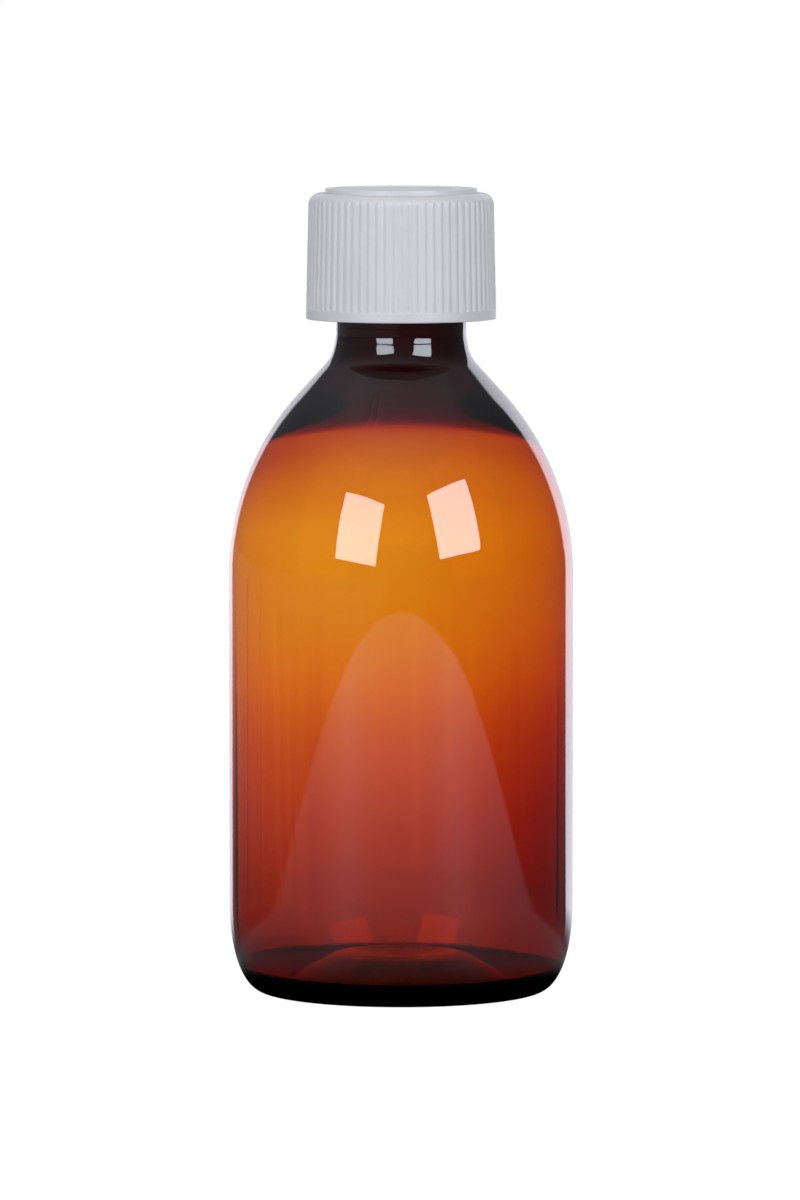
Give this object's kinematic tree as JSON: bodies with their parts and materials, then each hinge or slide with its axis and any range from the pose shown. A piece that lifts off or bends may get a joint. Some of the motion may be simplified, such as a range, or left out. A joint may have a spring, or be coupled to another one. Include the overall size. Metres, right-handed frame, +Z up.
{
  "type": "medicine bottle",
  "caption": "Round amber plastic medicine bottle with a narrow neck and a white ribbed push-and-turn screw cap, empty and unlabelled.",
  "frame": {"origin": "centre of the ring that the bottle stands on", "axes": "+Z up along the bottle's axis, towards the cap; +X and +Y level, and interchangeable because the part is round"},
  "size_m": [0.0604, 0.0604, 0.1415],
  "materials": {
    "amber_pet": "gloss",
    "liner_foam": "matte",
    "white_inner": "satin",
    "white_shell": "satin"
  },
  "bodies": {
    "bottle": {"bottle": "amber_pet"},
    "liner": {"liner": "liner_foam"},
    "inner_cap": {"inner_cap": "white_inner"},
    "spring_ring": {"spring_ring": "white_inner"},
    "outer_shell": {"outer_shell": "white_shell"},
    "tamper_band": {"tamper_band": "white_inner"}
  },
  "joints": [
    {"name": "cap_lift", "type": "slide", "parent": "bottle", "child": "liner", "axis": [0, 0, 1], "range_m": [0, 0.02905]},
    {"name": "cap_unscrew", "type": "hinge", "parent": "liner", "child": "inner_cap", "pos_m": [0, 0, 0.13], "axis": [0, 0, 1], "range_deg": [0, 2880]},
    {"name": "shell_turn", "type": "hinge", "parent": "inner_cap", "child": "spring_ring", "pos_m": [0, 0, 0.13], "axis": [0, 0, 1], "continuous": true},
    {"name": "shell_press", "type": "slide", "parent": "spring_ring", "child": "outer_shell", "axis": [0, 0, 1], "range_m": [-0.0011, 0], "stiffness_N_per_m": 8000, "springref_m": 0.0006, "deforming": ["spring_ring"]},
    {"name": "band_drop", "type": "slide", "parent": "bottle", "child": "tamper_band", "axis": [0, 0, 1], "range_m": [-0.0065, 0]}
  ],
  "couplings": [
    {"joint": "cap_lift", "follows": "cap_unscrew", "m_per_rad": 0.00057773}
  ]
}
